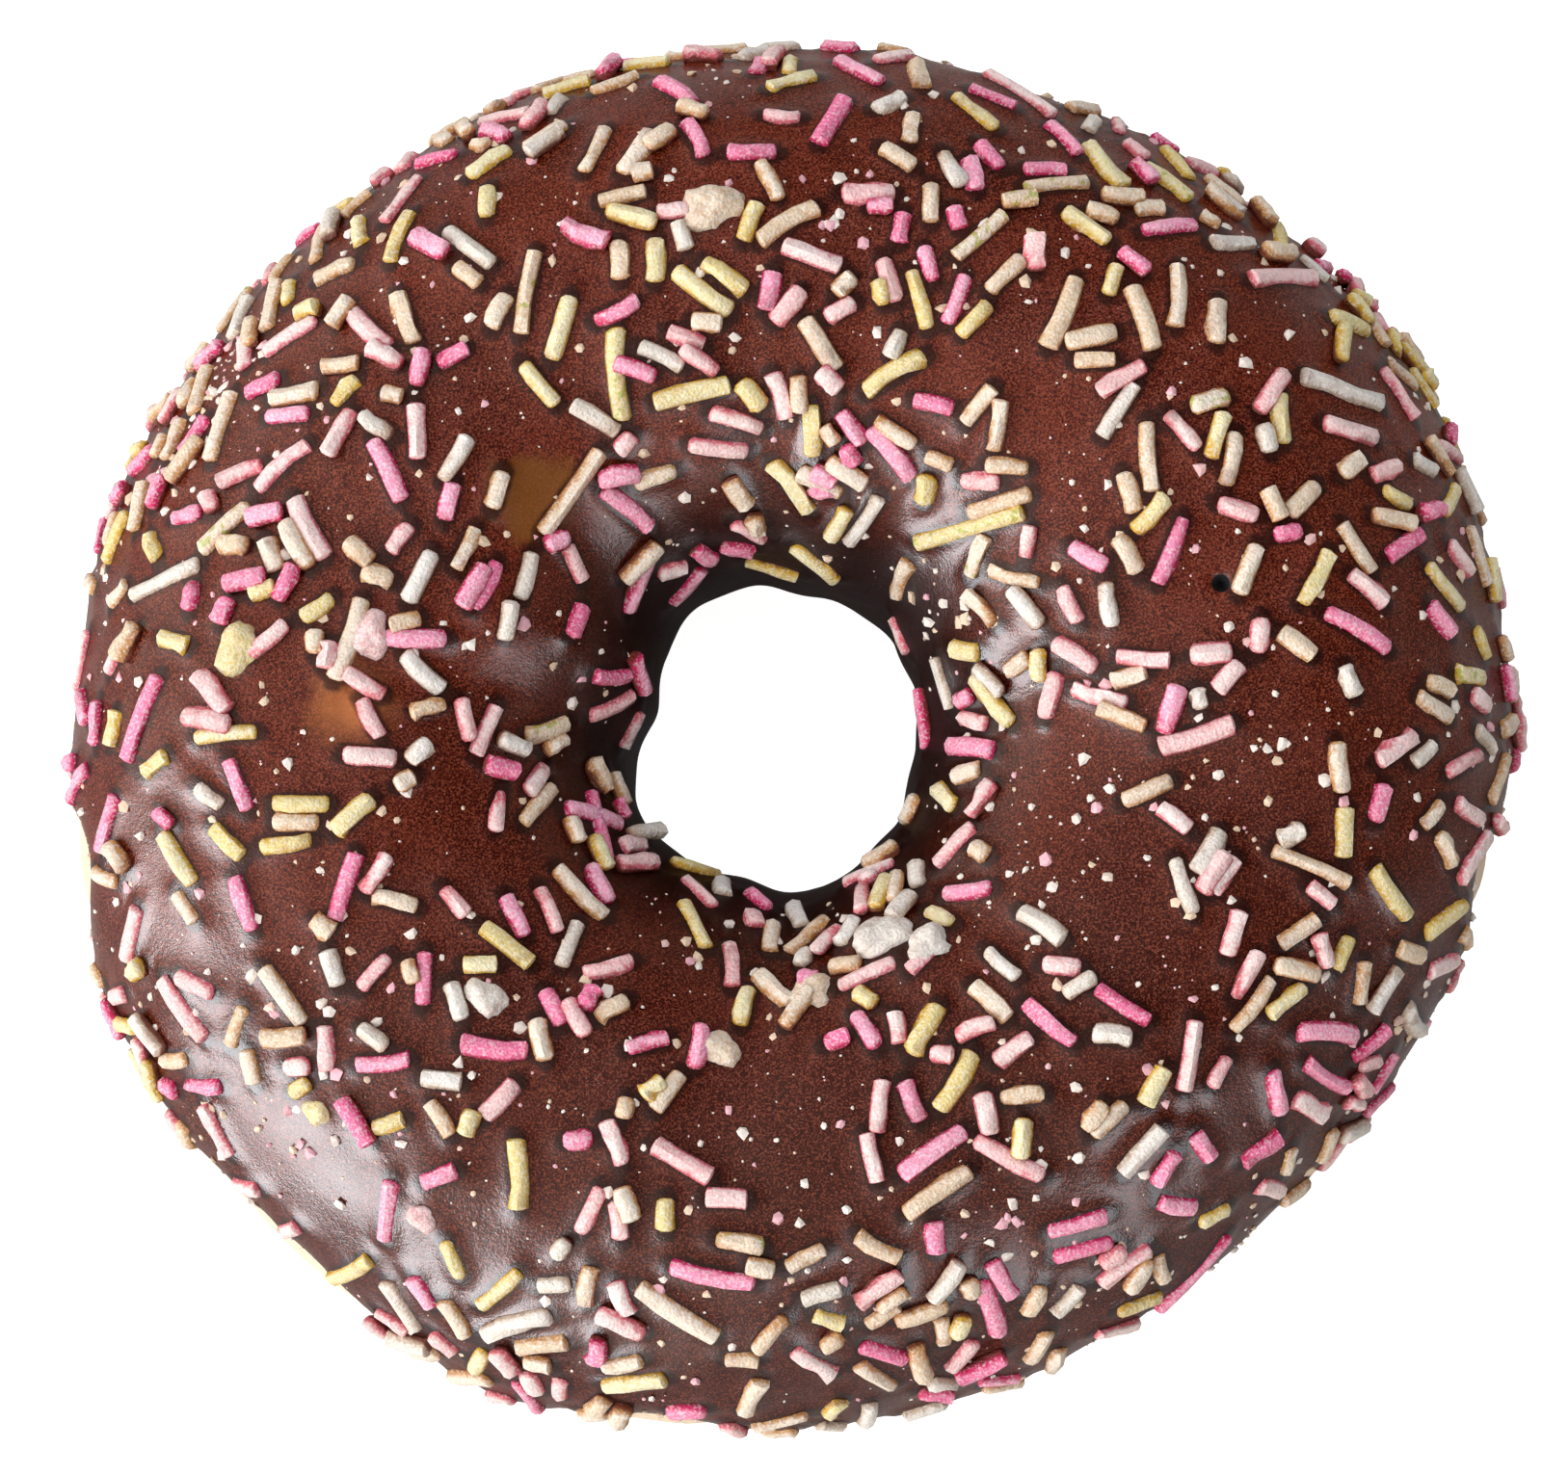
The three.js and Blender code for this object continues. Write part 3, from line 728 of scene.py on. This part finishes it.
def noise(tree, coordinates, scale, detail=2.0, roughness=0.5):
    """Noise of so many lumps a metre."""
    made = add_node(
        tree,
        "ShaderNodeTexNoise",
        {"Vector": coordinates, "Scale": scale, "Detail": detail, "Roughness": roughness},
    )
    return made.outputs["Fac"]


def ramp(tree, value, low, high, start=0.0, end=1.0):
    """Start below low, end above high, and a smooth step between."""
    made = add_node(
        tree,
        "ShaderNodeMapRange",
        {"Value": value, "From Min": low, "From Max": high, "To Min": start, "To Max": end},
        interpolation_type="SMOOTHSTEP",
    )
    return made.outputs["Result"]


def mix(tree, share, first, second, blend="MIX"):
    """The first colour, and the second in its place or blended with it by the share."""
    made = add_node(tree, "ShaderNodeMix", data_type="RGBA", blend_type=blend)
    for socket, value in zip((made.inputs[0], made.inputs[6], made.inputs[7]), (share, first, second)):
        if isinstance(value, bpy.types.NodeSocket):
            tree.links.new(value, socket)
        else:
            socket.default_value = value
    return made.outputs[2]


def math_node(tree, operation, first, second):
    made = add_node(tree, "ShaderNodeMath", {0: first, 1: second}, operation=operation)
    return made.outputs["Value"]


def times(tree, first, second):
    return math_node(tree, "MULTIPLY", first, second)


def vector_node(tree, operation, *inputs):
    """A vector operation: its number for a length or a dot product, and its vector otherwise."""
    made = add_node(tree, "ShaderNodeVectorMath", dict(enumerate(inputs)), operation=operation)
    return made.outputs["Value" if operation in ("LENGTH", "DOT_PRODUCT") else "Vector"]


def attribute(tree, name):
    """A value that the mesh holds at its points."""
    return add_node(tree, "ShaderNodeAttribute", attribute_name=name).outputs["Fac"]


def object_coordinates(tree):
    return add_node(tree, "ShaderNodeTexCoord").outputs["Object"]


def patch_mask(tree, coordinates, turn, tilt, radius, softness=0.55, waver=0.6):
    """1 round a line that stands upright on the icing at a place and 0 beyond its radius, with a
    soft, wavering border."""
    place = np.array(float(turn)), np.array(float(tilt))
    centre, axis = tuple(icing_surface(*place) * MM), tuple(icing_normal(*place))
    off = vector_node(tree, "SUBTRACT", coordinates, centre)
    across = vector_node(tree, "CROSS_PRODUCT", off, axis)
    distance = vector_node(tree, "LENGTH", across)
    wander = math_node(tree, "SUBTRACT", noise(tree, coordinates, 500), 0.5)
    wander = times(tree, wander, 2 * waver * radius * MM)
    reached = math_node(tree, "ADD", distance, wander)
    inner, outer = (1 - softness) * radius * MM, (1 + softness) * radius * MM
    return ramp(tree, reached, inner, outer, 1.0, 0.0)


def new_material(name, roughness):
    """A material, its node tree and its shader."""
    material = bpy.data.materials.new(name)
    material.use_nodes = True
    shader = material.node_tree.nodes["Principled BSDF"]
    shader.inputs["Roughness"].default_value = roughness
    return material, material.node_tree, shader


def grain_group():
    """Fine crystalline grain: two sizes of noise as a height, and its peaks and pits as masks."""
    group = bpy.data.node_groups.new("sugar_grain", "ShaderNodeTree")
    group.interface.new_socket("Coordinates", in_out="INPUT", socket_type="NodeSocketVector")
    group.interface.new_socket("Scale", in_out="INPUT", socket_type="NodeSocketFloat")
    for name in ("Height", "Peaks", "Pits"):
        group.interface.new_socket(name, in_out="OUTPUT", socket_type="NodeSocketFloat")
    outside = group.nodes.new("NodeGroupInput")
    result = group.nodes.new("NodeGroupOutput")
    fine = noise(group, outside.outputs["Coordinates"], outside.outputs["Scale"], 1.0)
    coarse_scale = times(group, outside.outputs["Scale"], 0.4)
    coarse = noise(group, outside.outputs["Coordinates"], coarse_scale, 1.0)
    height = math_node(group, "ADD", fine, coarse)
    group.links.new(height, result.inputs["Height"])
    group.links.new(ramp(group, fine, 0.5, 0.66), result.inputs["Peaks"])
    group.links.new(ramp(group, fine, 0.34, 0.5, 1.0, 0.0), result.inputs["Pits"])
    return group


def grain(tree, coordinates, scale):
    """The height, the peaks and the pits of a grain of so many lumps a metre."""
    made = add_node(
        tree,
        "ShaderNodeGroup",
        node_tree=bpy.data.node_groups.get("sugar_grain") or grain_group(),
    )
    tree.links.new(coordinates, made.inputs["Coordinates"])
    made.inputs["Scale"].default_value = scale
    return made.outputs["Height"], made.outputs["Peaks"], made.outputs["Pits"]


def bump(tree, height, strength, distance, under=None):
    """The surface's direction, bent by a height of so many metres."""
    made = add_node(
        tree, "ShaderNodeBump", {"Height": height, "Strength": strength, "Distance": distance}
    )
    if under is not None:
        tree.links.new(under, made.inputs["Normal"])
    return made.outputs["Normal"]


def satin_chocolate():
    """Set chocolate icing: dark brown and finely grained, with painted shade that darkens it towards
    one side and painted shade that makes it darkest down in the hole, thin spots where the dough glows
    through, painted contact shade in a line round each sprinkle and a dusting of sugar."""
    material, tree, shader = new_material("satin_chocolate_icing", 0.24)
    at = object_coordinates(tree)
    height, peaks, pits = grain(tree, at, 7600.0)
    cloudy = ramp(tree, noise(tree, at, 130, 3), 0.3, 0.7)
    colour = mix(tree, cloudy, paint(83, 20, 3), paint(105, 30, 6))
    # Painted shade: the icing is darker towards one side of the ring, and its grain peaks dimmer
    # there, as if that side were less lit.
    to_shaded_side = (cos_deg(SHADED_SIDE), sin_deg(SHADED_SIDE), 0)
    side_shade = ramp(tree, vector_node(tree, "DOT_PRODUCT", at, to_shaded_side), -10 * MM, 35 * MM)
    colour = mix(tree, times(tree, side_shade, 0.8), colour, paint(54, 11, 2))
    colour = mix(tree, pits, colour, paint(44, 8, 2))
    bright = math_node(tree, "SUBTRACT", 0.85, times(tree, side_shade, 0.25))
    colour = mix(tree, times(tree, peaks, bright), colour, paint(134, 66, 44))
    thin_small = patch_mask(tree, at, *MARKS["small thin spot"], 1.9, 0.95)
    colour = mix(tree, times(tree, thin_small, 0.7), colour, paint(188, 112, 58))
    thin_large = patch_mask(tree, at, *MARKS["large thin spot"], 2.8, 0.3)
    colour = mix(tree, times(tree, thin_large, 0.72), colour, paint(126, 76, 24))
    # Painted shade: the icing is painted near black down in the hole, where little light reaches; the
    # same mask also makes it rougher there.
    deep = ramp(tree, attribute(tree, "tilt"), 118, 150)
    colour = mix(tree, times(tree, deep, 0.92), colour, paint(18, 3, 1))
    # Painted contact shade: a dark line round each sprinkle and lump, on the meniscus where it meets
    # the icing.
    near = ramp(tree, attribute(tree, "near"), 0.45, 0.95)
    colour = mix(tree, times(tree, near, 0.8), colour, paint(30, 7, 4))
    dust = ramp(tree, noise(tree, at, 9000, 2), 0.68, 0.78)
    patchy = ramp(tree, noise(tree, at, 160, 2), 0.45, 0.7)
    colour = mix(tree, times(tree, dust, patchy), colour, paint(190, 150, 140))
    # Painted shade: the torn pit is painted near black inside.
    colour = mix(tree, ramp(tree, attribute(tree, "pit"), 0.3, 0.8), colour, paint(20, 7, 5))
    # Painted shadow: the pinhole is painted black inside; the same mask also makes it rough.
    pinhole = patch_mask(tree, at, *MARKS["pinhole"], 0.6, 0.12, 0.08)
    colour = mix(tree, pinhole, colour, paint(2, 1, 1))
    tree.links.new(colour, shader.inputs["Base Color"])
    rough = ramp(tree, noise(tree, at, 260, 3), 0.3, 0.75, 0.24, 0.36)
    hidden = math_node(tree, "MAXIMUM", times(tree, deep, 0.45), pinhole)
    rough = math_node(tree, "MAXIMUM", rough, hidden)
    tree.links.new(rough, shader.inputs["Roughness"])
    shader.inputs["Specular IOR Level"].default_value = 0.4
    tree.links.new(bump(tree, height, 0.45, 0.00004), shader.inputs["Normal"])
    return material


# Sugar colours: the top of the palest and of the deepest sprinkle, and the flanks, which are a darker,
# deeper painted shade.
SUGAR_PAINTS = {
    "light_pink": (paint(249, 226, 222), paint(244, 196, 196), paint(218, 104, 118)),
    "deep_pink": (paint(252, 182, 206), paint(240, 120, 164), paint(204, 30, 96)),
    "cream": (paint(238, 224, 207), paint(226, 202, 173), paint(198, 144, 86)),
    "yellow": (paint(239, 229, 188), paint(228, 208, 142), paint(212, 168, 50)),
    "white": (paint(236, 230, 224), paint(228, 219, 207), paint(198, 176, 154)),
}


def sugar(colour):
    """Pressed sugar of one colour: matte and grainy, with painted shade that makes its flanks deeper
    and darker than its top, browned by the icing where it sinks in and at a stained end."""
    name = f"pressed_sugar_{colour}"
    if name in bpy.data.materials:
        return bpy.data.materials[name]
    material, tree, shader = new_material(name, 0.75)
    at = object_coordinates(tree)
    height, peaks, pits = grain(tree, at, 5200.0)
    palest, deepest, shaded_flank = SUGAR_PAINTS[colour]
    shade = mix(tree, attribute(tree, "tone"), palest, deepest)
    unevenness = times(tree, noise(tree, at, 1500), 0.5)
    level = math_node(tree, "SUBTRACT", attribute(tree, "rise"), unevenness)
    # Painted shade: below a height on the sprinkle, its flanks take a darker, deeper colour than its
    # top.
    shade = mix(tree, ramp(tree, level, 0.05, 0.4), shaded_flank, shade)
    shade = mix(tree, times(tree, pits, 0.15), shade, shaded_flank)
    shade = mix(tree, times(tree, peaks, 0.4), shade, paint(253, 246, 242))
    if colour in ("yellow", "cream"):
        spots = ramp(tree, noise(tree, at, 1500), 0.58, 0.66)
        flecks = times(tree, attribute(tree, "flecked"), spots)
        shade = mix(tree, times(tree, flecks, 0.6), shade, paint(158, 176, 60))
    film = ramp(tree, level, -0.24, 0.06, 1.0, 0.0)
    blotch = ramp(tree, noise(tree, at, 900), 0.42, 0.62)
    stain = times(tree, attribute(tree, "stain"), blotch)
    film = math_node(tree, "MAXIMUM", film, times(tree, stain, 0.5))
    shade = mix(tree, times(tree, film, 0.9), shade, paint(112, 44, 26))
    tree.links.new(shade, shader.inputs["Base Color"])
    shader.inputs["Specular IOR Level"].default_value = 0.3
    shader.inputs["Subsurface Weight"].default_value = 0.35
    shader.inputs["Subsurface Radius"].default_value = (1.0, 0.8, 0.7)
    shader.inputs["Subsurface Scale"].default_value = 0.4 * MM
    tree.links.new(bump(tree, height, 0.8, 0.00015), shader.inputs["Normal"])
    return material


def crumb_sugar():
    """Loose crumbs of sugar, from white through cream to pink."""
    material, tree, shader = new_material("loose_sugar", 0.6)
    tint = attribute(tree, "tint")
    colour = mix(tree, ramp(tree, tint, 0.45, 0.5), paint(238, 226, 216), paint(226, 200, 172))
    colour = mix(tree, ramp(tree, tint, 0.78, 0.83), colour, paint(232, 176, 186))
    tree.links.new(colour, shader.inputs["Base Color"])
    return material


def fried_dough():
    """Fried dough: golden brown, paler round the waist and darkest underneath, mottled and pored."""
    material, tree, shader = new_material("fried_dough", 0.62)
    at = object_coordinates(tree)
    metres_up = add_node(tree, "ShaderNodeSeparateXYZ", {0: at}).outputs["Z"]
    waver = times(tree, noise(tree, at, 110, 3), 7.0)
    level = math_node(tree, "ADD", times(tree, metres_up, 1 / MM), waver)
    golden = mix(
        tree, ramp(tree, noise(tree, at, 220, 4), 0.3, 0.7), paint(196, 128, 66), paint(222, 162, 96)
    )
    band = times(tree, ramp(tree, level, 12.0, 17.5), ramp(tree, level, 29.0, 34.0, 1.0, 0.0))
    colour = mix(tree, times(tree, band, 0.85), golden, paint(250, 232, 204))
    colour = mix(tree, ramp(tree, level, 1.5, 7.0, 0.6, 0.0), colour, paint(150, 84, 40))
    pores = ramp(tree, noise(tree, at, 1500, 3), 0.6, 0.75)
    colour = mix(tree, times(tree, pores, 0.3), colour, paint(150, 92, 46))
    tree.links.new(colour, shader.inputs["Base Color"])
    coarse = bump(tree, noise(tree, at, 420, 4, 0.6), 0.5, 0.0004)
    tree.links.new(bump(tree, noise(tree, at, 2600, 3), 0.35, 0.0001, coarse), shader.inputs["Normal"])
    return material


# ---------------------------------------------------------------- floor, light and camera

# Lengths here are in metres, and azimuths in degrees round from +X.
FLOOR_REACH = 3.0
WINDOW_AZIMUTH = 217
BRIGHT_WALL_AZIMUTH = WINDOW_AZIMUTH - 12
LAMP_DISTANCE = 0.9
LAMP_RISE = 0.02
# Soft boxes: azimuth, elevation, width, height, radiance, and whether it only shows in gloss.
SOFTBOXES = {
    "window": (WINDOW_AZIMUTH, 16, 0.7, 0.6, 18.0, True),
    "side_window": (304, 24, 0.45, 0.5, 7.0, True),
    "window_light": (WINDOW_AZIMUTH, 30, 0.6, 0.6, 2.7, False),
    "fill_light": (80, 65, 0.8, 0.8, 2.15, False),
}
# Colours of the light.
MIRRORED_LIGHT = (0.87, 0.93, 0.98)
MATT_LIGHT = (0.89, 0.97, 1.07)
ROOM_LIGHT = (1.04, 0.965, 0.88, 1.0)
CAMERA_SOUTH, CAMERA_EAST = 5, 2.5  # degrees off straight up, towards -Y and towards +X
CAMERA_DISTANCE = 0.38
AIM_HEIGHT = 0.016
SEEN_WIDTH = 0.1034  # across the picture, at the aim
SENSOR_WIDTH = 36  # in millimetres


def make_floor():
    """A plain pale square that is white to the camera."""
    mesh = bpy.data.meshes.new("floor")
    reach = FLOOR_REACH
    corners = [(-reach, -reach, 0), (reach, -reach, 0), (reach, reach, 0), (-reach, reach, 0)]
    mesh.from_pydata(corners, [], [(0, 1, 2, 3)])
    floor = bpy.data.objects.new("floor", mesh)
    bpy.context.collection.objects.link(floor)
    material, tree, shader = new_material("pale_floor", 0.9)
    shader.inputs["Base Color"].default_value = (0.5, 0.49, 0.48, 1)
    shader.inputs["Specular IOR Level"].default_value = 0.0
    shader.inputs["Emission Color"].default_value = (1, 1, 1, 1)
    seen = add_node(tree, "ShaderNodeLightPath").outputs["Is Camera Ray"]
    tree.links.new(times(tree, seen, 0.97), shader.inputs["Emission Strength"])
    mesh.materials.append(material)


def make_softbox(name, azimuth, elevation, width, height, radiance, mirrored):
    """A rectangular light that faces the doughnut: its power is pi * area * radiance. One that is
    mirrored only shows in gloss, and any other only lights matt surfaces."""
    light = bpy.data.lights.new(name, "AREA")
    light.shape = "RECTANGLE"
    light.size = width
    light.size_y = height
    light.energy = math.pi * width * height * radiance
    light.color = MIRRORED_LIGHT if mirrored else MATT_LIGHT
    level = cos_deg(elevation)
    away = Vector((level * cos_deg(azimuth), level * sin_deg(azimuth), sin_deg(elevation)))
    lamp = bpy.data.objects.new(name, light)
    lamp.location = away * LAMP_DISTANCE + Vector((0, 0, LAMP_RISE))
    lamp.rotation_mode = "QUATERNION"
    lamp.rotation_quaternion = away.to_track_quat("Z", "Y")
    lamp.visible_glossy = mirrored
    lamp.visible_diffuse = not mirrored
    bpy.context.collection.objects.link(lamp)


def make_world():
    """A pale, warm room: walls under a dimmer ceiling, both brightest towards the window."""
    world = bpy.data.worlds.new("studio")
    bpy.context.scene.world = world
    world.use_nodes = True
    tree = world.node_tree
    direction = add_node(tree, "ShaderNodeTexCoord").outputs["Generated"]
    to_window = (cos_deg(BRIGHT_WALL_AZIMUTH), sin_deg(BRIGHT_WALL_AZIMUTH), 0)
    facing = vector_node(tree, "DOT_PRODUCT", direction, to_window)
    wall = ramp(tree, facing, -0.2, 0.95, 0.25, 2.3)
    ceiling = ramp(tree, facing, -0.5, 0.8, 0.03, 1.1)
    height = add_node(tree, "ShaderNodeSeparateXYZ", {0: direction}).outputs["Z"]
    level = mix(tree, ramp(tree, height, 0.3, 0.8), wall, ceiling)
    warm = mix(tree, 1.0, level, ROOM_LIGHT, blend="MULTIPLY")
    tree.links.new(warm, tree.nodes["Background"].inputs["Color"])


def make_camera():
    """Almost overhead, with its picture's upper edge towards +Y."""
    aim = Vector((0, 0, AIM_HEIGHT))
    south, east = math.radians(CAMERA_SOUTH), math.radians(CAMERA_EAST)
    back = Vector((math.tan(east), -math.tan(south), 1)).normalized()
    right = Vector((0, 1, 0)).cross(back).normalized()
    up = back.cross(right)
    camera = bpy.data.cameras.new("camera")
    camera.sensor_width = SENSOR_WIDTH
    camera.lens = SENSOR_WIDTH * CAMERA_DISTANCE / SEEN_WIDTH
    camera.clip_start = 0.01
    camera.clip_end = 10
    eye = bpy.data.objects.new("camera", camera)
    turned = Matrix((right, up, back)).transposed().to_4x4()
    eye.matrix_world = Matrix.Translation(aim + back * CAMERA_DISTANCE) @ turned
    bpy.context.collection.objects.link(eye)
    bpy.context.scene.camera = eye


# ---------------------------------------------------------------- the doughnut

scattered = scatter_sprinkles()
scattered += heap_sprinkles(scattered)
middles, directions, normals, lengths, colours = map(np.array, zip(*scattered))

dough = make_dough()
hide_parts("dough_ring")
icing = make_icing()
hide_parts("chocolate_icing")
for colour in COLOUR_SHARES:
    sprinkles = make_sprinkles(colour)
    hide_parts("chocolate_icing")
for colour in sorted({c for *_, c in SUGAR_LUMPS}):
    lumps = make_lumps(colour)
    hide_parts("chocolate_icing")
make_crumbs()

make_floor()
for name, softbox in SOFTBOXES.items():
    make_softbox(name, *softbox)
make_world()
make_camera()
bpy.context.scene.view_settings.view_transform = "Standard"
